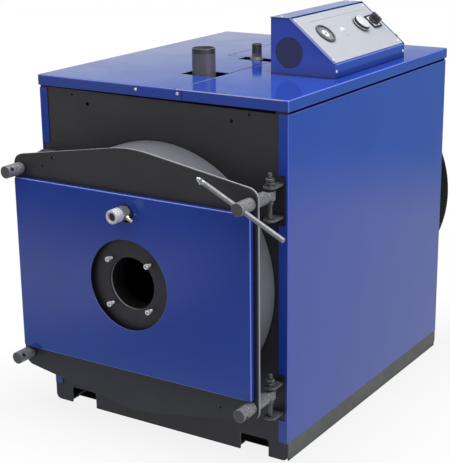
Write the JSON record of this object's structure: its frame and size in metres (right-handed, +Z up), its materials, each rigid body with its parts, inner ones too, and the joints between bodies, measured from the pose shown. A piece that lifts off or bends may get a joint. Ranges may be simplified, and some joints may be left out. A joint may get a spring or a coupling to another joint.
{
  "type": "industrial hot-water boiler with swinging burner door",
  "caption": "Blue-cased steel hot-water boiler with a round vessel, a hinged burner door on tube nuts, top pipe connections and a wedge-shaped control box.",
  "frame": {"origin": "on the floor, at the middle of the front plate's folded foot", "axes": "+Z up, -Y out of the burner door, +X to the right when facing the door"},
  "size_m": [0.8289, 1.318, 1.0465],
  "materials": {
    "casing_blue": "semi-gloss blue stoving enamel",
    "plate_black": "matt black heat-resistant paint",
    "vessel_grey": "dark grey primer",
    "rail_grey": "matt grey paint",
    "hammered_grey": "hammered grey paint",
    "bright_steel": "bright zinc-plated steel",
    "bare_steel": "bare mill steel",
    "silver_face": "satin silver",
    "black_plastic": "matt moulded plastic",
    "pale_plastic": "satin moulded plastic",
    "brass": "machined brass",
    "glass": "heat-resistant glass",
    "refractory": "cast refractory",
    "rope": "woven ceramic rope"
  },
  "bodies": {
    "boiler": {"front_plate": "plate_black", "rear_plate": "plate_black", "base_rail_left": "rail_grey", "base_rail_right": "rail_grey", "side_panel_left": "casing_blue", "side_panel_right": "casing_blue", "top_cover_left": "casing_blue", "top_cover_center": "casing_blue", "top_cover_right": "casing_blue", "lid_strap": "casing_blue", "drum_shell": "vessel_grey", "front_tube_plate": "bare_steel", "rear_tube_plate": "bare_steel", "furnace_tube": "bare_steel", "smoke_tubes": "bare_steel", "rear_smokebox": "plate_black", "flue_outlet": "plate_black", "flow_pipe": "vessel_grey", "return_pipe": "vessel_grey", "safety_pipe": "vessel_grey", "control_box": "casing_blue", "control_face": "silver_face", "gauge": "black_plastic", "signal_lamp": "pale_plastic", "blanking_cap": "casing_blue", "cable_gland": "black_plastic", "selector_plate": "pale_plastic", "hinge_ears_right": "hammered_grey", "hinge_ears_left": "hammered_grey", "hinge_pins_right": "hammered_grey", "hinge_pins_left": "hammered_grey", "eye_bolts_left": "hammered_grey"},
    "door": {"door_plate": "plate_black", "door_gasket": "rope", "door_lining": "refractory", "burner_sleeve": "bare_steel", "door_cover": "casing_blue", "sight_tube": "bright_steel", "sight_glass": "glass", "sight_nipple": "brass", "eye_bolts_right": "hammered_grey", "spacer_sleeves": "hammered_grey", "tube_nuts_right": "hammered_grey", "tube_nuts_left": "hammered_grey", "tommy_bar": "bare_steel"},
    "thermostat_knob": {"thermostat_knob": "black_plastic"},
    "selector_knob": {"selector_knob": "black_plastic"}
  },
  "joints": [
    {"name": "door_swing", "type": "hinge", "parent": "boiler", "child": "door", "pos_m": [0.341, -0.056, 0.4375], "axis": [0, 0, 1], "range_deg": [0, 105]},
    {"name": "thermostat_turn", "type": "hinge", "parent": "boiler", "child": "thermostat_knob", "pos_m": [0.25746, 0.557, 1.00117], "axis": [0.6295, 0, 0.777], "range_deg": [-270, 0]},
    {"name": "selector_turn", "type": "hinge", "parent": "boiler", "child": "selector_knob", "pos_m": [0.25746, 0.6315, 1.00117], "axis": [0.6295, 0, 0.777], "range_deg": [-90, 0]}
  ]
}
